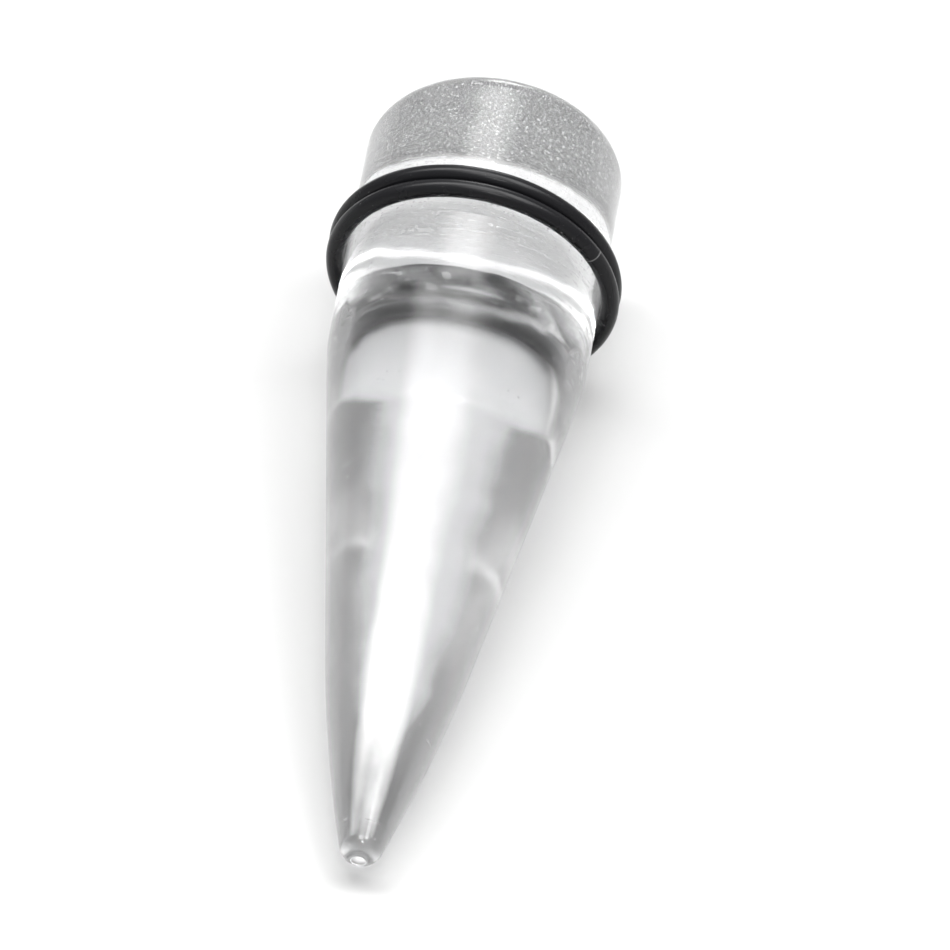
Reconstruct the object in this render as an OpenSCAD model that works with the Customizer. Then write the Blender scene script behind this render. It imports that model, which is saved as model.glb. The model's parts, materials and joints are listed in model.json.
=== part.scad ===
// Ear stretching taper, lying as it comes to rest on a flat surface.
// A clear rod with a straight tail, a long taper and a rounded tip carries two
// rubber O-rings side by side. It rests on its nose and on the front ring, whose
// rubber is pressed to a small flat there.
// The tip points along -Y and the tail face looks towards +Y.

/* [Taper body] */
// Diameter of the straight section, which is the size the ear is stretched to
gauge_d = 20; // [16:1:26]
// Length from the tail face to the end of the tip
length = 72; // [64:1:90]
// Length of the straight section, from the tail face
straight_l = 21; // [18:0.5:28]
// Radius that rounds the edge of the tail face
tail_edge_r = 2; // [0.5:0.1:4]
// Length of each side of the curved shoulder, from the corner that it rounds
shoulder_reach = 1; // [0.5:0.5:4]

/* [Nose] */
// Length of the nose, in which the taper curves in to the tip
nose_l = 20; // [12:1:26]
// Diameter that the taper would still have at the tip, if it ran on straight
blunt_d = 5.7; // [5.2:0.1:7]
// Radius of the rounded tip
tip_r = 1.7; // [1:0.1:2.4]

/* [O-rings] */
// Distance along the rod from the tail face to the middle of the pair of rings
band_at = 12.5; // [8:0.5:15]
// Thickness of the rubber cord that each ring is made of
ring_cord_d = 1.4; // [1:0.1:2.4]
// Gap left between a ring and the rod
ring_clearance = 0.05; // [0.02:0.01:0.1]
// Gap left between the two rings
ring_gap = 0.1; // [0.05:0.05:1]
// Angle by which the rings sit askew, seen from above
ring_turn = -3; // [-6:0.5:6]
// Angle by which the tops of the rings lean towards the tip
ring_lean = 2; // [-4:0.5:6]
// How far the rubber of the front ring gives where it bears on the surface
ring_give = 0.05; // [0.02:0.01:0.1]

/* [Hidden] */

// Facets of a full turn, and straight steps in each curve of the rod's outline
turn_facets = 180;
curve_steps = 12;

rod_r = gauge_d / 2;
blunt_r = blunt_d / 2;

// Stations are distances along the rod's axis from the tail face
nose_at = length - nose_l;
tip_at = length - tip_r;
corner_at = straight_l + shoulder_reach;

// The taper's slope, and the curve that blends it into the straight section
taper_angle = atan((rod_r - blunt_r) / (tip_at - corner_at));
shoulder_r = shoulder_reach / tan(taper_angle / 2);

// The nose is one curve, tangent to the taper where it starts and to the round tip
nose_r = blunt_r + (tip_at - nose_at) * tan(taper_angle);
nose_spare = blunt_r * cos(taper_angle) - tip_r;
nose_curve_r = (pow(tip_at - nose_at, 2) + nose_r * nose_r - tip_r * tip_r) / (2 * nose_spare);
nose_centre = [nose_r, nose_at] - nose_curve_r * [cos(taper_angle), sin(taper_angle)];
tip_angle = atan2(tip_at - nose_centre[1], -nose_centre[0]);

// A ring that sits askew is a little wider, so that it still clears the rod all round
skew_share = cos(ring_turn) * cos(ring_lean);
ring_r = (rod_r + ring_clearance + ring_cord_d / 2) / skew_share;
ring_pitch = (ring_cord_d + ring_gap) / skew_share;
ring_back_at = band_at - ring_pitch / 2;
ring_front_at = band_at + ring_pitch / 2;

// Points of an arc, as [radius, station], from one angle to another
function arc(centre, r, from, to) =
    [for (i = [0 : curve_steps]) centre + r * [cos(from + (to - from) * i / curve_steps),
                                               sin(from + (to - from) * i / curve_steps)]];

// Outline of the rod from the tail face to the tip
rod_outline = concat(
    [[0, 0]],
    arc([rod_r - tail_edge_r, tail_edge_r], tail_edge_r, -90, 0),
    arc([rod_r - shoulder_r, straight_l], shoulder_r, 0, taper_angle),
    arc(nose_centre, nose_curve_r, taper_angle, tip_angle),
    arc([0, tip_at], tip_r, tip_angle, 90));

// How far the lowest point of the rod, and the flat of the front ring, lie below the
// middle of the tail face when the rod dips to its tip by a tilt
function rod_depth(tilt) = max([for (p = rod_outline) p[0] * cos(tilt) + p[1] * sin(tilt)]);
function ring_axis_dip(tilt) = sin(tilt) * skew_share + cos(tilt) * sin(ring_lean);
function ring_depth(tilt) = ring_front_at * sin(tilt)
    + ring_r * sqrt(1 - pow(ring_axis_dip(tilt), 2)) + ring_cord_d / 2 - ring_give;

// The tilt at which both touch the surface, found by halving the span that holds it
function settled(low, high, rounds) =
    let (middle = (low + high) / 2)
    rounds == 0 ? middle
    : rod_depth(middle) > ring_depth(middle) ? settled(low, middle, rounds - 1)
    : settled(middle, high, rounds - 1);
steepest_tilt = 45;
settling_rounds = 40;
rest_tilt = settled(0, steepest_tilt, settling_rounds);

// The origin is below the middle of the whole, on the surface
tail_height = rod_depth(rest_tilt);
tail_most_y = tail_edge_r * (1 - cos(rest_tilt)) + (rod_r - tail_edge_r) * sin(rest_tilt);
tip_most_y = -tip_at * cos(rest_tilt) - tip_r;
middle_y = (tail_most_y + tip_most_y) / 2;

// Lays what was drawn along -Y from the tail face down on the surface
module laid_down() {
    translate([0, -middle_y, tail_height])
        rotate([rest_tilt, 0, 0])
            children();
}

module o_ring(station) {
    color([0.06, 0.06, 0.06])
        laid_down()
            translate([0, -station, 0])
                rotate([ring_lean, 0, ring_turn])
                    rotate([90, 0, 0])
                        rotate_extrude($fn = turn_facets)
                            translate([ring_r, 0])
                                circle(d = ring_cord_d, $fn = turn_facets / 4);
}

module taper_body() {
    color([0.88, 0.91, 0.93])
        laid_down()
            rotate([90, 0, 0])
                rotate_extrude($fn = turn_facets)
                    polygon(rod_outline);
}

module ring_back() {
    o_ring(ring_back_at);
}

// The space below the surface, wider than anything that lies on it
module below_surface() {
    translate([-length, -length, -length])
        cube([2 * length, 2 * length, length]);
}

module ring_front() {
    difference() {
        o_ring(ring_front_at);
        below_surface();
    }
}

taper_body();
ring_back();
ring_front();
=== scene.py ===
"""Looks of an ear stretching taper, a clear acrylic rod with two rubber O-rings, in a white studio."""

import json
import math

import bmesh
import bpy
from bpy.props import FloatProperty, FloatVectorProperty, IntProperty, PointerProperty
from bpy.types import Operator, Panel, PropertyGroup
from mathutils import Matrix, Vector


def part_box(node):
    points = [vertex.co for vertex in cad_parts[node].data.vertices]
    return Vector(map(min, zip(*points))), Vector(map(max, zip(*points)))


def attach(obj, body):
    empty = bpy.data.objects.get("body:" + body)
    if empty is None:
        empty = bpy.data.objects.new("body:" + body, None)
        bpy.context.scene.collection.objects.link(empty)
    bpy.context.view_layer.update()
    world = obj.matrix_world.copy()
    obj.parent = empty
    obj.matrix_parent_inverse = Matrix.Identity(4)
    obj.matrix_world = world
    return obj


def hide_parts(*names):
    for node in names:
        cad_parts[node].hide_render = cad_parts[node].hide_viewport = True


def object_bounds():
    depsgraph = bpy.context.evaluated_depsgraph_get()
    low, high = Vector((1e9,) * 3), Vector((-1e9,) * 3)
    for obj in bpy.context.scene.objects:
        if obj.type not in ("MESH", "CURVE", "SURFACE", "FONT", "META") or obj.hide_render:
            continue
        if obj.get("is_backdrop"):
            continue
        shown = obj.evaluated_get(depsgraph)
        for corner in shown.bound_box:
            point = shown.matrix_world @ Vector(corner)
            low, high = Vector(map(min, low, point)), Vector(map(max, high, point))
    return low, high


bl_info = {
    "name": "Ear Stretching Taper",
    "version": (1, 0, 0),
    "blender": (4, 5, 0),
    "location": "View3D > Sidebar > Taper",
    "description": "Makes the acrylic rod, its rubber rings and the studio round them",
    "category": "Object",
}

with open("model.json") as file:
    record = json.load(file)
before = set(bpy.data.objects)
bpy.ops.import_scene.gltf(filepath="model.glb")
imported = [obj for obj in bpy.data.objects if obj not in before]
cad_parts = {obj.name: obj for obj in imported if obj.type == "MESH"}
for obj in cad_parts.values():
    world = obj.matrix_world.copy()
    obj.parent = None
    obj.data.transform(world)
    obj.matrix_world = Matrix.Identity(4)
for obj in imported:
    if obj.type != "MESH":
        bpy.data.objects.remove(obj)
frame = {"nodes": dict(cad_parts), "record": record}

BODY = "root"
MM = 0.001
MOUNTS = {mount["name"]: mount for mount in frame["record"]["mounts"]}
TAIL_FACE = Vector(MOUNTS["tail_face"]["pos_m"])
TO_TAIL = Vector(MOUNTS["tail_face"]["axis"]).normalized()
GAUGE_R = MOUNTS["worn_section"]["dims"]["r_mm"] * MM
DIP = math.asin(TO_TAIL.z)

# How far a visual piece's box may lie from its solid's, and the distance that welds the points of a seam
FIT_TOLERANCE = 0.1 * MM
WELD_DISTANCE = 1e-7

# Rows of faces along each stretch of the rod's outline, and round the section of a ring
FACE_ROWS, EDGE_ROWS, STRAIGHT_ROWS, SHOULDER_ROWS = 8, 24, 18, 28
CONE_ROWS, NOSE_ROWS, TIP_ROWS = 28, 36, 36
RING_ROWS = 48
FLASH_WIDTH = math.radians(9)

# Stations along the rod, 0 at the tail face and falling to the tip, between which its finish changes
SAWN = (-0.45 * MM, -0.1 * MM)
MOTTLED = (-14 * MM, -10 * MM)
SPECKED = (-18 * MM, -11 * MM)
TAIL_POLISH_ENDS = (-27 * MM, -22 * MM)
TIP_POLISH_STARTS = (-64 * MM, -58 * MM)
TURNING_MARKS_AT = -23 * MM
TURNING_MARKS_FADE = (1 * MM, 5 * MM)

# How fine each pattern in the acrylic and the rubber is, as features in a metre
GRAIN, CLOUDS, SPECKS, WAVES, TURNING_MARKS, SCRATCHES = 6500, 260, 4200, 150, 1900, 1500
RUBBER_SKIN, RUBBER_PATCHES = 3800, 420

# Heights of the relief
GRAIN_H, TURNING_H, SCRATCH_H = 0.05 * MM, 0.004 * MM, 0.0012 * MM
SKIN_H, NICK_DEPTH = 0.006 * MM, 0.03 * MM

# A nick in the front ring, in rod coordinates, the direction across it, and where it fades off
NICK_AT = (9.857 * MM, -14.489 * MM, 5.246 * MM)
NICK_CUTS = (-0.469, 0.0, 0.883)
NICK_SIDE = (0.03 * MM, 0.08 * MM)
NICK_END = (0.7 * MM, 0.9 * MM)

# Refractive indices
ACRYLIC_IOR, RUBBER_IOR = 1.49, 1.5

FLOOR_HALF = 3.0
FLOOR_ROUGHNESS = 0.6
NEAREST_SEEN, FARTHEST_SEEN = 0.1, 20.0


def rod_length():
    """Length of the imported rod, measured along its axis from the tail face."""
    vertices = frame["nodes"]["taper_body"].data.vertices
    return max((TAIL_FACE - vertex.co).dot(TO_TAIL) for vertex in vertices)


class TaperRodSizes(PropertyGroup):
    """Sizes of the acrylic rod."""

    gauge_d: FloatProperty(
        name="Gauge",
        description="Diameter of the straight section",
        default=2 * GAUGE_R,
        unit="LENGTH",
    )
    length: FloatProperty(
        name="Length",
        description="From the tail face to the end of the tip",
        default=rod_length(),
        unit="LENGTH",
    )
    straight_l: FloatProperty(
        name="Straight", description="Length of the straight section", default=0.021, unit="LENGTH"
    )
    tail_edge_r: FloatProperty(
        name="Tail edge",
        description="Radius that rounds the edge of the tail face",
        default=0.002,
        unit="LENGTH",
    )
    shoulder_reach: FloatProperty(
        name="Shoulder",
        description="Length of each side of the curved shoulder",
        default=0.001,
        unit="LENGTH",
    )
    nose_l: FloatProperty(
        name="Nose",
        description="Length in which the taper curves in to the tip",
        default=0.020,
        unit="LENGTH",
    )
    blunt_d: FloatProperty(
        name="Blunt end",
        description="Diameter that the taper would still have at the tip",
        default=0.0057,
        unit="LENGTH",
    )
    tip_r: FloatProperty(
        name="Tip",
        description="Radius of the rounded tip",
        default=0.0017,
        unit="LENGTH",
    )
    steps_round: IntProperty(
        name="Steps",
        description="Faces in a full turn of the rod",
        default=360,
        min=24,
    )


class TaperRingSizes(PropertyGroup):
    """Sizes and seat of the two O-rings."""

    band_at: FloatProperty(
        name="Seat",
        description="Distance from the tail face to the middle of the pair",
        default=0.0125,
        unit="LENGTH",
    )
    cord_d: FloatProperty(
        name="Cord",
        description="Thickness of the rubber cord",
        default=0.0014,
        unit="LENGTH",
    )
    clearance: FloatProperty(
        name="Clearance",
        description="Gap between a ring and the rod",
        default=0.00005,
        unit="LENGTH",
    )
    gap: FloatProperty(
        name="Gap",
        description="Gap between the two rings",
        default=0.0001,
        unit="LENGTH",
    )
    turn: FloatProperty(
        name="Turn",
        description="How far the rings sit askew from above",
        default=math.radians(-3),
        unit="ROTATION",
    )
    lean: FloatProperty(
        name="Lean",
        description="How far the tops of the rings lean to the tip",
        default=math.radians(2),
        unit="ROTATION",
    )
    flash_h: FloatProperty(
        name="Flash",
        description="Height of the mould's parting line on the rubber",
        default=0.000012,
        unit="LENGTH",
    )
    steps_round: IntProperty(
        name="Steps",
        description="Faces in a full turn of a ring",
        default=512,
        min=24,
    )


class TaperFinish(PropertyGroup):
    """Colours and finish of the acrylic and the rubber."""

    acrylic: FloatVectorProperty(
        name="Acrylic",
        description="Tint of the clear acrylic",
        subtype="COLOR",
        default=(0.955, 0.958, 0.962),
    )
    polish_roughness: FloatProperty(
        name="Polish",
        description="Roughness of the polished straight section and tip",
        default=0.035,
    )
    cone_roughness: FloatProperty(
        name="Cone polish",
        description="Roughness of the cone, whose polish is softer",
        default=0.15,
    )
    wave_h: FloatProperty(
        name="Waviness",
        description="Height of the slight waves left by polishing",
        default=0.00016,
        unit="LENGTH",
    )
    frost_roughness: FloatProperty(
        name="Frost",
        description="Roughness of the sawn tail face",
        default=0.42,
    )
    # The frost tone is painted shade: a grey in the sawn face's colour that stands for the dark rings and
    # shaded floor seen from inside the rod
    frost_shade_tone: FloatProperty(
        name="Frost tone",
        description="How light the haze of the sawn face is",
        default=0.36,
    )
    frost_haze: FloatProperty(
        name="Frost haze",
        description="Share of the sawn face that is haze",
        default=0.55,
    )
    rubber: FloatVectorProperty(
        name="Rubber",
        description="Colour of the O-rings",
        subtype="COLOR",
        default=(0.008, 0.008, 0.009),
    )
    rubber_roughness: FloatProperty(
        name="Rubber gloss",
        description="Roughness of the rubber",
        default=0.25,
    )


class TaperStudio(PropertyGroup):
    """Camera, floor and lights."""

    camera_azimuth: FloatProperty(
        name="Azimuth",
        description="Camera's turn round the taper, from the tip's side",
        default=math.radians(8.4),
        unit="ROTATION",
    )
    camera_elevation: FloatProperty(
        name="Elevation",
        description="Camera's height above the floor",
        default=math.radians(40.1),
        unit="ROTATION",
    )
    camera_distance: FloatProperty(
        name="Distance",
        description="From camera to taper",
        default=1.183,
        unit="LENGTH",
    )
    picture_width: FloatProperty(
        name="Picture width",
        description="Width that the picture takes in at the taper",
        default=0.072,
        unit="LENGTH",
    )
    aim_right: FloatProperty(
        name="Aim right",
        description="How far right of the taper's middle the camera aims",
        default=0.0034,
        unit="LENGTH",
    )
    aim_up: FloatProperty(
        name="Aim up",
        description="How far above the taper's middle the camera aims",
        default=-0.0011,
        unit="LENGTH",
    )
    floor_colour: FloatVectorProperty(
        name="Floor", description="Colour of the floor", subtype="COLOR", default=(0.4, 0.4, 0.4)
    )
    surround: FloatProperty(
        name="Surround",
        description="Brightness of the room round the set",
        default=0.45,
    )
    brightness: FloatProperty(
        name="Softboxes",
        description="Brightness of all the softboxes together",
        default=1.0,
    )


def arc(centre, radius, start, end, steps):
    """Points of an arc as (radius, station), from one angle to another."""
    angles = [start + (end - start) * i / steps for i in range(steps + 1)]
    return [(centre[0] + radius * math.cos(a), centre[1] + radius * math.sin(a)) for a in angles]


def straight(start, end, steps):
    """Points of a straight stretch of an outline."""
    shares = [i / steps for i in range(steps + 1)]
    return [tuple(a + (b - a) * t for a, b in zip(start, end)) for t in shares]


def joined(*stretches):
    """One outline from stretches that each start where the last one ends."""
    points = list(stretches[0])
    for stretch in stretches[1:]:
        points += stretch[1:]
    return points


def rod_outline(sizes):
    """Outline of the rod as (radius, station), from the middle of the tail face to the tip."""
    rod_r, blunt_r, edge_r = sizes.gauge_d / 2, sizes.blunt_d / 2, sizes.tail_edge_r
    nose_at, tip_at = sizes.length - sizes.nose_l, sizes.length - sizes.tip_r
    corner_at = sizes.straight_l + sizes.shoulder_reach
    slope = math.atan((rod_r - blunt_r) / (tip_at - corner_at))
    shoulder_r = sizes.shoulder_reach / math.tan(slope / 2)
    nose_r = blunt_r + (tip_at - nose_at) * math.tan(slope)
    spare = blunt_r * math.cos(slope) - sizes.tip_r
    nose_curve_r = ((tip_at - nose_at) ** 2 + nose_r**2 - sizes.tip_r**2) / (2 * spare)
    nose_centre = (nose_r - nose_curve_r * math.cos(slope), nose_at - nose_curve_r * math.sin(slope))
    tip_angle = math.atan2(tip_at - nose_centre[1], -nose_centre[0])
    quarter = math.pi / 2
    edge = arc((rod_r - edge_r, edge_r), edge_r, -quarter, 0, EDGE_ROWS)
    shoulder = arc((rod_r - shoulder_r, sizes.straight_l), shoulder_r, 0, slope, SHOULDER_ROWS)
    nose = arc(nose_centre, nose_curve_r, slope, tip_angle, NOSE_ROWS)
    tip = arc((0, tip_at), sizes.tip_r, tip_angle, quarter, TIP_ROWS)
    return joined(
        straight((0, 0), edge[0], FACE_ROWS),
        edge,
        straight(edge[-1], shoulder[0], STRAIGHT_ROWS),
        shoulder,
        straight(shoulder[-1], nose[0], CONE_ROWS),
        nose,
        tip[:-1] + [(0, sizes.length)],
    )


def ring_outline(ring_r, sizes):
    """Section of a ring as (radius, station), with the mould's parting line at its outermost point."""
    points = []
    for i in range(RING_ROWS + 1):
        angle = 2 * math.pi * i / RING_ROWS
        off = min(angle, 2 * math.pi - angle) / FLASH_WIDTH
        reach = sizes.cord_d / 2 + sizes.flash_h * math.exp(-off * off)
        points.append((ring_r + reach * math.cos(angle), reach * math.sin(angle)))
    return points


def add_node(tree, kind, inputs=None, **settings):
    """A node in a tree, with its settings, and its inputs given as sockets or values."""
    node = tree.nodes.new(kind)
    for name, value in settings.items():
        setattr(node, name, value)
    for key, value in (inputs or {}).items():
        socket = node.inputs[key]
        if isinstance(value, bpy.types.NodeSocket):
            tree.links.new(value, socket)
        else:
            socket.default_value = value
    return node


def lathe_tree():
    """Geometry nodes that turn an outline of (radius, station) about the axis, seat it and lay it down."""
    tree = bpy.data.node_groups.new("Lathe", "GeometryNodeTree")
    face = tree.interface
    face.new_socket("Outline", in_out="INPUT", socket_type="NodeSocketGeometry")
    face.new_socket("Rows", in_out="INPUT", socket_type="NodeSocketInt")
    face.new_socket("Steps Round", in_out="INPUT", socket_type="NodeSocketInt")
    face.new_socket("Seat", in_out="INPUT", socket_type="NodeSocketVector")
    face.new_socket("Seat Turn", in_out="INPUT", socket_type="NodeSocketVector")
    face.new_socket("Tail Face", in_out="INPUT", socket_type="NodeSocketVector")
    face.new_socket("Dip", in_out="INPUT", socket_type="NodeSocketVector")
    face.new_socket("Material", in_out="INPUT", socket_type="NodeSocketMaterial")
    face.new_socket("Turned", in_out="OUTPUT", socket_type="NodeSocketGeometry")
    given = add_node(tree, "NodeGroupInput").outputs

    def maths(operation, a, b=0.0):
        return add_node(tree, "ShaderNodeMath", {0: a, 1: b}, operation=operation).outputs[0]

    columns = maths("ADD", given["Steps Round"], 1)
    grid = add_node(
        tree, "GeometryNodeMeshGrid", {"Vertices X": given["Rows"], "Vertices Y": columns}
    ).outputs["Mesh"]
    index = add_node(tree, "GeometryNodeInputIndex").outputs[0]
    row = maths("FLOOR", maths("DIVIDE", maths("ADD", index, 0.5), columns))
    column = maths("SUBTRACT", index, maths("MULTIPLY", row, columns))
    angle = maths("MULTIPLY", maths("DIVIDE", column, given["Steps Round"]), 2 * math.pi)
    outline_at = add_node(tree, "GeometryNodeInputPosition").outputs[0]
    sample = add_node(
        tree,
        "GeometryNodeSampleIndex",
        {"Geometry": given["Outline"], "Value": outline_at, "Index": row},
        data_type="FLOAT_VECTOR",
        domain="POINT",
    )
    point = add_node(tree, "ShaderNodeSeparateXYZ", {0: sample.outputs["Value"]}).outputs
    place = add_node(
        tree,
        "ShaderNodeCombineXYZ",
        {
            "X": maths("MULTIPLY", point["X"], maths("COSINE", angle)),
            "Y": maths("MULTIPLY", point["Y"], -1),
            "Z": maths("MULTIPLY", point["X"], maths("SINE", angle)),
        },
    ).outputs[0]
    turned = add_node(tree, "GeometryNodeSetPosition", {"Geometry": grid, "Position": place}).outputs[0]
    outward = add_node(tree, "GeometryNodeFlipFaces", {"Mesh": turned}).outputs[0]
    closed = add_node(
        tree, "GeometryNodeMergeByDistance", {"Geometry": outward, "Distance": WELD_DISTANCE}
    ).outputs[0]
    seated = add_node(
        tree,
        "GeometryNodeTransform",
        {"Geometry": closed, "Translation": given["Seat"], "Rotation": given["Seat Turn"]},
    ).outputs[0]
    laid = add_node(
        tree,
        "GeometryNodeTransform",
        {"Geometry": seated, "Translation": given["Tail Face"], "Rotation": given["Dip"]},
    ).outputs[0]
    lying_at = add_node(tree, "GeometryNodeInputPosition").outputs[0]
    spot = add_node(tree, "ShaderNodeSeparateXYZ", {0: lying_at}).outputs
    above = maths("MAXIMUM", spot["Z"], 0)
    pressed = add_node(tree, "ShaderNodeCombineXYZ", {"X": spot["X"], "Y": spot["Y"], "Z": above}).outputs[0]
    resting = add_node(tree, "GeometryNodeSetPosition", {"Geometry": laid, "Position": pressed}).outputs[0]
    smooth = add_node(tree, "GeometryNodeSetShadeSmooth", {"Geometry": resting}).outputs[0]
    real = add_node(tree, "GeometryNodeRealizeInstances", {"Geometry": smooth}).outputs[0]
    painted = add_node(
        tree, "GeometryNodeSetMaterial", {"Geometry": real, "Material": given["Material"]}
    ).outputs[0]
    add_node(tree, "NodeGroupOutput", {0: painted})
    return tree


def turned_piece(name, outline, seat, seat_turn, steps_round, material):
    """A plain mesh turned on the lathe tree from an outline, in its place on the floor."""
    mesh = bpy.data.meshes.new(name)
    mesh.from_pydata([(radius, station, 0) for radius, station in outline], [], [])
    piece = bpy.data.objects.new(name, mesh)
    bpy.context.scene.collection.objects.link(piece)
    lathe = piece.modifiers.new("Lathe", "NODES")
    tree = bpy.data.node_groups.get("Lathe") or lathe_tree()
    lathe.node_group = tree
    values = {
        "Rows": len(outline),
        "Steps Round": steps_round,
        "Seat": seat,
        "Seat Turn": seat_turn,
        "Tail Face": TAIL_FACE,
        "Dip": (DIP, 0.0, 0.0),
        "Material": material,
    }
    for item in tree.interface.items_tree:
        if item.item_type == "SOCKET" and item.in_out == "INPUT" and item.name in values:
            lathe[item.identifier] = values[item.name]
    depsgraph = bpy.context.evaluated_depsgraph_get()
    finished = bpy.data.meshes.new_from_object(piece.evaluated_get(depsgraph))
    piece.modifiers.remove(lathe)
    piece.data = finished
    finished.name = name
    return piece


def check_fit(piece, node):
    """Stops if a piece is inside out or departs from the box of the solid that it stands for."""
    shell = bmesh.new()
    shell.from_mesh(piece.data)
    volume = shell.calc_volume(signed=True)
    edges_open = sum(not edge.is_manifold for edge in shell.edges)
    shell.free()
    if volume <= 0 or edges_open:
        fault = f"volume {volume} m3, {edges_open} open edges"
        raise RuntimeError(f"{piece.name} isn't a closed solid facing outward: {fault}")
    low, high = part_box(node)
    corners = [piece.matrix_world @ vertex.co for vertex in piece.data.vertices]
    for axis in range(3):
        values = [corner[axis] for corner in corners]
        off = max(abs(min(values) - low[axis]), abs(max(values) - high[axis]))
        if off > FIT_TOLERANCE:
            raise RuntimeError(f"{piece.name} doesn't fill the box of {node} along axis {axis}")


def new_material(name):
    """An empty node material with its output."""
    material = bpy.data.materials.new(name)
    material.use_nodes = True
    tree = material.node_tree
    tree.nodes.clear()
    return material, tree, add_node(tree, "ShaderNodeOutputMaterial")


def rod_coordinates(tree):
    """Object coordinates turned to the rod: tail face at 0, axis along Y, tip towards -Y."""
    place = add_node(tree, "ShaderNodeTexCoord").outputs["Object"]
    return add_node(
        tree,
        "ShaderNodeMapping",
        {"Vector": place, "Location": TAIL_FACE, "Rotation": (DIP, 0.0, 0.0)},
        vector_type="TEXTURE",
    ).outputs[0]


class Pattern:
    """Short ways to add the nodes of a procedural pattern in rod coordinates to a material."""

    def __init__(self, tree):
        self.tree = tree
        self.rod = rod_coordinates(tree)
        self.station = add_node(tree, "ShaderNodeSeparateXYZ", {0: self.rod}).outputs["Y"]

    def maths(self, operation, a, b=0.0):
        return add_node(self.tree, "ShaderNodeMath", {0: a, 1: b}, operation=operation).outputs[0]

    def vector(self, operation, a, b):
        return add_node(self.tree, "ShaderNodeVectorMath", {0: a, 1: b}, operation=operation)

    def noise(self, scale, stretch=(1, 1, 1), detail=2.0):
        place = self.vector("MULTIPLY", self.rod, stretch).outputs[0]
        return add_node(
            self.tree, "ShaderNodeTexNoise", {"Vector": place, "Scale": scale, "Detail": detail}
        ).outputs["Fac"]

    def between(self, value, low, high, to_low=0.0, to_high=1.0):
        """The value's place between two others, held within the given ends."""
        ends = {"Value": value, "From Min": low, "From Max": high, "To Min": to_low, "To Max": to_high}
        return add_node(self.tree, "ShaderNodeMapRange", ends, clamp=True).outputs[0]

    def blend(self, share, a, b):
        ends = {"Factor": share, "A": a, "B": b}
        return add_node(self.tree, "ShaderNodeMix", ends, data_type="FLOAT").outputs[0]

    def blend_colour(self, share, a, b):
        ends = {"Factor": share, "A": a, "B": b}
        return add_node(self.tree, "ShaderNodeMix", ends, data_type="RGBA").outputs[2]

    def grey(self, value):
        ends = {"Red": value, "Green": value, "Blue": value}
        return add_node(self.tree, "ShaderNodeCombineColor", ends).outputs[0]

    def bump(self, height, strength, distance, normal=None):
        ends = {"Height": height, "Strength": strength, "Distance": distance}
        if normal:
            ends["Normal"] = normal
        return add_node(self.tree, "ShaderNodeBump", ends).outputs[0]


def speck_mask(pattern):
    """Fine specks on the acrylic as 0 or 1, sparse along the rod and crowded at the tail."""
    cells = add_node(
        pattern.tree, "ShaderNodeTexVoronoi", {"Vector": pattern.rod, "Scale": SPECKS}, feature="F1"
    ).outputs
    chance = add_node(pattern.tree, "ShaderNodeSeparateColor", {0: cells["Color"]}).outputs
    sparse, crowded, widest = 0.015, 0.5, 0.55
    crowd = pattern.between(pattern.station, *SPECKED, sparse, crowded)
    reach = pattern.maths("MULTIPLY", chance["Red"], widest)
    return pattern.maths(
        "MULTIPLY",
        pattern.maths("LESS_THAN", chance["Green"], crowd),
        pattern.maths("LESS_THAN", cells["Distance"], reach),
    )


def acrylic_haze(pattern, finish, sawn, grain, specks):
    """Share of the acrylic that scatters light: sawn face, fine mottle at the tail, and specks."""
    mottle_share, speck_share = 0.15, 0.24
    face = pattern.maths("MULTIPLY", sawn, finish.frost_haze)
    at_tail = pattern.between(pattern.station, *MOTTLED)
    mottle = pattern.maths("MULTIPLY", at_tail, pattern.between(grain, 0.44, 0.68, 0.0, mottle_share))
    dots = pattern.maths("MULTIPLY", specks, speck_share)
    return pattern.maths("MAXIMUM", face, pattern.maths("MAXIMUM", dots, mottle))


def acrylic_relief(pattern, finish, sawn, grain):
    """Slight waves, turning marks at the shoulder, fine scratches, and the sawn face's grain."""
    waves = pattern.bump(pattern.noise(WAVES, (1, 0.5, 1)), 1.0, finish.wave_h)
    off_shoulder = pattern.maths("ABSOLUTE", pattern.maths("SUBTRACT", pattern.station, TURNING_MARKS_AT))
    at_shoulder = pattern.between(off_shoulder, *TURNING_MARKS_FADE, 1.0, 0.0)
    turned = pattern.bump(pattern.noise(TURNING_MARKS, (0.1, 1, 0.1)), at_shoulder, TURNING_H, waves)
    scratched = pattern.bump(pattern.noise(SCRATCHES, (1, 0.04, 1), 3.0), 1.0, SCRATCH_H, turned)
    return pattern.bump(grain, sawn, GRAIN_H, scratched)


def acrylic_polish(pattern, finish):
    """Roughness of the polished acrylic, softer on the cone than on the straight section and the tip."""
    on_cone = pattern.maths(
        "MULTIPLY",
        pattern.between(pattern.station, *TIP_POLISH_STARTS),
        pattern.between(pattern.station, *TAIL_POLISH_ENDS, 1.0, 0.0),
    )
    return pattern.blend(on_cone, finish.polish_roughness, finish.cone_roughness)


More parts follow.
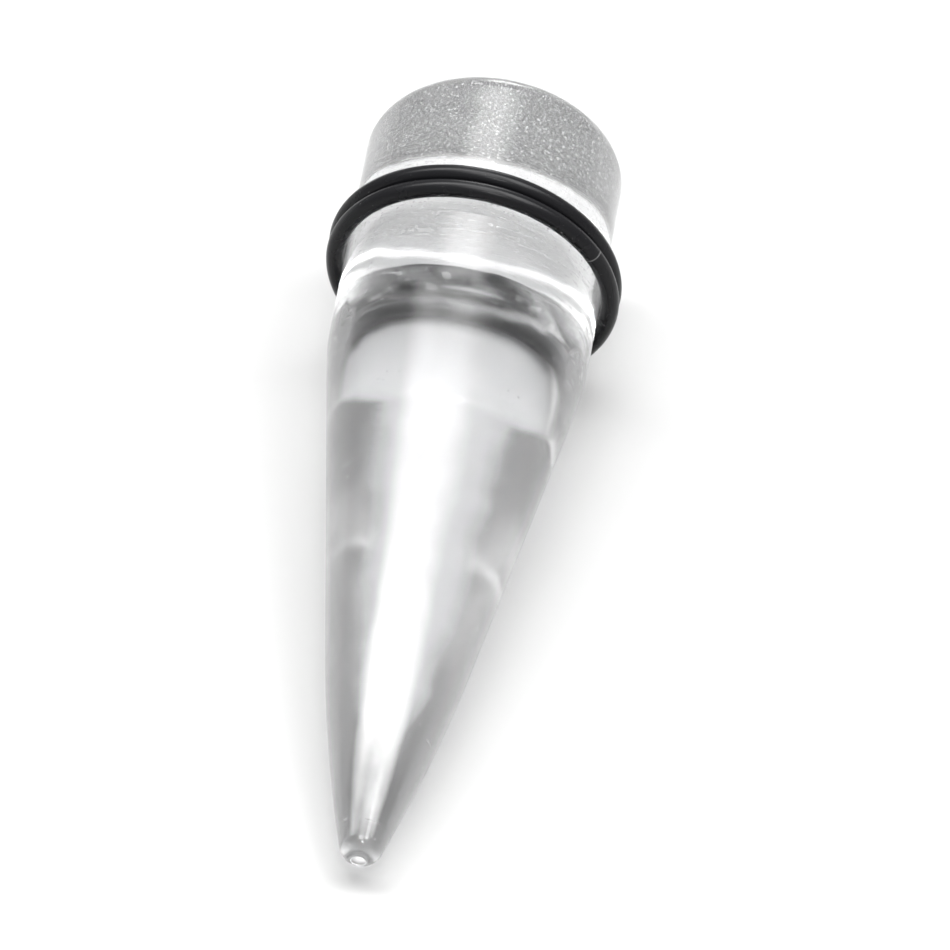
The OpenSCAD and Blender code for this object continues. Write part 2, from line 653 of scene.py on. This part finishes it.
def acrylic_material(finish):
    """Clear polished acrylic with faint marks, matt and speckled on the sawn tail face, which has painted
    shade and painted glints.
    """
    material, tree, output = new_material("clear_acrylic")
    pattern = Pattern(tree)
    sawn = pattern.between(pattern.station, *SAWN)
    grain = pattern.noise(GRAIN, detail=3.0)
    specks = speck_mask(pattern)

    clouds = pattern.noise(CLOUDS)
    # Painted glints: the sawn face's colour turns white, and its roughness falls, where the grain peaks
    painted_glints = pattern.between(grain, 0.6, 0.7)
    cloud_depth, glint_roughness = 0.15, 0.2
    # The sawn face's grey is painted shade, varied at random by the clouds
    cloudy = pattern.blend(clouds, finish.frost_shade_tone - cloud_depth, finish.frost_shade_tone + cloud_depth)
    face_shade_and_glints = pattern.grey(pattern.blend(painted_glints, cloudy, 1.0))
    face_roughness = pattern.blend(painted_glints, finish.frost_roughness, glint_roughness)

    clear_tone = pattern.blend_colour(specks, (*finish.acrylic, 1), (0.8, 0.8, 0.8, 1))
    haze = acrylic_haze(pattern, finish, sawn, grain, specks)
    shader = add_node(
        tree,
        "ShaderNodeBsdfPrincipled",
        {
            "Base Color": pattern.blend_colour(sawn, clear_tone, face_shade_and_glints),
            "Roughness": pattern.blend(sawn, acrylic_polish(pattern, finish), face_roughness),
            "IOR": ACRYLIC_IOR,
            "Transmission Weight": pattern.maths("SUBTRACT", 1.0, haze),
            "Normal": acrylic_relief(pattern, finish, sawn, grain),
        },
    )
    tree.links.new(shader.outputs[0], output.inputs["Surface"])
    return material


def nick_mask(pattern):
    """The nick in the front ring, as a share from 0 to 1."""
    from_nick = pattern.vector("SUBTRACT", pattern.rod, NICK_AT).outputs[0]
    off_line = pattern.vector("DOT_PRODUCT", from_nick, NICK_CUTS).outputs["Value"]
    across = pattern.maths("ABSOLUTE", off_line)
    far = pattern.vector("LENGTH", from_nick, (0, 0, 0)).outputs["Value"]
    return pattern.maths(
        "MULTIPLY",
        pattern.between(across, *NICK_SIDE, 1.0, 0.0),
        pattern.between(far, *NICK_END, 1.0, 0.0),
    )


def rubber_material(finish):
    """Moulded black rubber, semi-gloss, with a fine skin, a little dust and a nick in one ring."""
    material, tree, output = new_material("black_rubber")
    pattern = Pattern(tree)
    skin = pattern.noise(RUBBER_SKIN, detail=4.0)
    dust = pattern.between(skin, 0.7, 0.76)
    nick = nick_mask(pattern)
    light_spots = pattern.maths("MAXIMUM", dust, nick)
    surface = pattern.bump(skin, 1.0, SKIN_H, pattern.bump(nick, 1.0, NICK_DEPTH))
    patches = pattern.noise(RUBBER_PATCHES, detail=3.0)
    gloss = finish.rubber_roughness
    shader = add_node(
        tree,
        "ShaderNodeBsdfPrincipled",
        {
            "Base Color": pattern.blend_colour(light_spots, (*finish.rubber, 1), (0.12, 0.12, 0.12, 1)),
            "Roughness": pattern.blend(patches, gloss - 0.08, gloss + 0.1),
            "IOR": RUBBER_IOR,
            "Specular IOR Level": 0.15,
            "Normal": surface,
        },
    )
    tree.links.new(shader.outputs[0], output.inputs["Surface"])
    return material


class TAPER_OT_make_rod(Operator):
    """Turn the clear acrylic rod and lay it in its place."""

    bl_idname = "taper.make_rod"
    bl_label = "Make Rod"

    def execute(self, context):
        sizes = context.scene.taper_rod
        rod = turned_piece(
            "acrylic_rod",
            rod_outline(sizes),
            (0.0, 0.0, 0.0),
            (0.0, 0.0, 0.0),
            sizes.steps_round,
            acrylic_material(context.scene.taper_finish),
        )
        check_fit(rod, "taper_body")
        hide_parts("taper_body")
        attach(rod, BODY)
        return {"FINISHED"}


class TAPER_OT_make_rings(Operator):
    """Turn the two rubber O-rings and seat them round the rod's tail."""

    bl_idname = "taper.make_rings"
    bl_label = "Make Rings"

    def execute(self, context):
        sizes, rod = context.scene.taper_rings, context.scene.taper_rod
        skew_share = math.cos(sizes.turn) * math.cos(sizes.lean)
        ring_r = (rod.gauge_d / 2 + sizes.clearance + sizes.cord_d / 2) / skew_share
        pitch = (sizes.cord_d + sizes.gap) / skew_share
        rubber = rubber_material(context.scene.taper_finish)
        for node, side in (("ring_back", -1), ("ring_front", 1)):
            ring = turned_piece(
                node.replace("ring", "rubber_ring"),
                ring_outline(ring_r, sizes),
                (0.0, -(sizes.band_at + side * pitch / 2), 0.0),
                (sizes.lean, 0.0, sizes.turn),
                sizes.steps_round,
                rubber,
            )
            check_fit(ring, node)
            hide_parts(node)
            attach(ring, BODY)
        return {"FINISHED"}


# Name, azimuth and elevation in degrees, distance and size in metres, brightness, and fully bright share
SOFTBOXES = (
    ("overhead_strip", 180, 82, 0.432, (1.4, 0.19), 13.0, 0.15),
    ("back_softbox", 186, 59, 0.9, (0.8, 0.33), 6.0, 0.1),
    ("front_softbox", 0, 76, 0.9, (0.5, 0.5), 8.0, 0.4),
    ("camera_light", 13, 52, 0.9, (0.19, 0.19), 18.0, 0.6),
    ("right_softbox", 70, 62, 0.9, (0.5, 0.5), 12.0, 0.1),
    ("left_softbox", 240, 62, 0.9, (0.5, 0.5), 4.0, 0.1),
    ("low_back_softbox", 180, 20, 0.9, (0.4, 0.4), 7.0, 0.1),
)


def direction(azimuth, elevation):
    """Unit vector from the taper towards a place in the room; azimuth 0 is the tip's side."""
    flat = math.cos(elevation)
    return Vector((math.sin(azimuth) * flat, -math.cos(azimuth) * flat, math.sin(elevation)))


def add_softbox(name, azimuth, elevation, distance, size, brightness, core):
    """A rectangular area light that faces the taper and fades from its core out to its edges."""
    light = bpy.data.lights.new(name, "AREA")
    light.shape = "RECTANGLE"
    light.size, light.size_y = size
    light.energy = brightness * math.pi * size[0] * size[1]
    light.use_nodes = True
    tree = light.node_tree
    tree.nodes.clear()
    spot = add_node(tree, "ShaderNodeNewGeometry").outputs["Parametric"]
    middle = (0.5, 0.5, 0.0)
    centred = add_node(tree, "ShaderNodeVectorMath", {0: spot, 1: middle}, operation="SUBTRACT").outputs[0]
    out = add_node(tree, "ShaderNodeVectorMath", {0: centred}, operation="ABSOLUTE").outputs[0]
    off = add_node(tree, "ShaderNodeSeparateXYZ", {0: out}).outputs
    fades = [
        add_node(
            tree,
            "ShaderNodeMapRange",
            {"Value": off[axis], "From Min": 0.5 * core, "From Max": 0.5, "To Min": 1.0, "To Max": 0.0},
            interpolation_type="SMOOTHSTEP",
        ).outputs[0]
        for axis in "XY"
    ]
    share = add_node(tree, "ShaderNodeMath", {0: fades[0], 1: fades[1]}, operation="MULTIPLY").outputs[0]
    glow = add_node(tree, "ShaderNodeEmission", {"Strength": share}).outputs[0]
    add_node(tree, "ShaderNodeOutputLight", {"Surface": glow})
    lamp = bpy.data.objects.new(name, light)
    bpy.context.scene.collection.objects.link(lamp)
    towards = direction(math.radians(azimuth), math.radians(elevation))
    lamp.location = towards * distance
    lamp.rotation_euler = towards.to_track_quat("Z", "Y").to_euler()
    return lamp


class TAPER_OT_make_studio(Operator):
    """Set up the floor, the lights and the camera."""

    bl_idname = "taper.make_studio"
    bl_label = "Make Studio"

    def execute(self, context):
        studio = context.scene.taper_studio
        scene = context.scene
        self.make_floor(scene, studio)
        self.make_lights(scene, studio)
        self.make_camera(scene, studio)
        scene.view_settings.view_transform = "Standard"
        return {"FINISHED"}

    def make_floor(self, scene, studio):
        mesh = bpy.data.meshes.new("floor")
        corners = [(x * FLOOR_HALF, y * FLOOR_HALF, 0) for x, y in ((-1, -1), (1, -1), (1, 1), (-1, 1))]
        mesh.from_pydata(corners, [], [(0, 1, 2, 3)])
        floor = bpy.data.objects.new("floor", mesh)
        scene.collection.objects.link(floor)
        material, tree, output = new_material("white_floor")
        shader = add_node(
            tree,
            "ShaderNodeBsdfPrincipled",
            {"Base Color": (*studio.floor_colour, 1), "Roughness": FLOOR_ROUGHNESS},
        )
        tree.links.new(shader.outputs[0], output.inputs["Surface"])
        mesh.materials.append(material)
        floor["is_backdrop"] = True

    def make_lights(self, scene, studio):
        for name, azimuth, elevation, distance, size, brightness, core in SOFTBOXES:
            add_softbox(name, azimuth, elevation, distance, size, brightness * studio.brightness, core)
        world = bpy.data.worlds.new("room")
        world.use_nodes = True
        background = world.node_tree.nodes["Background"]
        background.inputs["Color"].default_value = (studio.surround,) * 3 + (1,)
        scene.world = world

    def make_camera(self, scene, studio):
        low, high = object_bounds()
        towards = direction(studio.camera_azimuth, studio.camera_elevation)
        turn = towards.to_track_quat("Z", "Y")
        right, up = turn @ Vector((1, 0, 0)), turn @ Vector((0, 1, 0))
        aim = (low + high) / 2 + right * studio.aim_right + up * studio.aim_up
        data = bpy.data.cameras.new("camera")
        data.lens = data.sensor_width * studio.camera_distance / studio.picture_width
        data.clip_start, data.clip_end = NEAREST_SEEN, FARTHEST_SEEN
        camera = bpy.data.objects.new("camera", data)
        camera.location = aim + towards * studio.camera_distance
        camera.rotation_euler = turn.to_euler()
        scene.collection.objects.link(camera)
        scene.camera = camera


class VIEW3D_PT_taper(Panel):
    """Sizes, finish and studio of the taper."""

    bl_label = "Ear Stretching Taper"
    bl_space_type = "VIEW_3D"
    bl_region_type = "UI"
    bl_category = "Taper"

    def draw(self, context):
        groups = (
            (context.scene.taper_rod, TAPER_OT_make_rod),
            (context.scene.taper_rings, TAPER_OT_make_rings),
            (context.scene.taper_finish, None),
            (context.scene.taper_studio, TAPER_OT_make_studio),
        )
        for group, operator in groups:
            box = self.layout.box()
            for name in group.__annotations__:
                box.prop(group, name)
            if operator:
                box.operator(operator.bl_idname)


CLASSES = (
    TaperRodSizes,
    TaperRingSizes,
    TaperFinish,
    TaperStudio,
    TAPER_OT_make_rod,
    TAPER_OT_make_rings,
    TAPER_OT_make_studio,
    VIEW3D_PT_taper,
)
GROUPS = {
    "taper_rod": TaperRodSizes,
    "taper_rings": TaperRingSizes,
    "taper_finish": TaperFinish,
    "taper_studio": TaperStudio,
}


def register():
    for cls in CLASSES:
        bpy.utils.register_class(cls)
    for name, group in GROUPS.items():
        setattr(bpy.types.Scene, name, PointerProperty(type=group))


def unregister():
    for name in GROUPS:
        delattr(bpy.types.Scene, name)
    for cls in reversed(CLASSES):
        bpy.utils.unregister_class(cls)


def main():
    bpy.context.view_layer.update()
    register()
    bpy.ops.taper.make_rod()
    bpy.ops.taper.make_rings()
    bpy.ops.taper.make_studio()


if __name__ == "__main__":
    main()
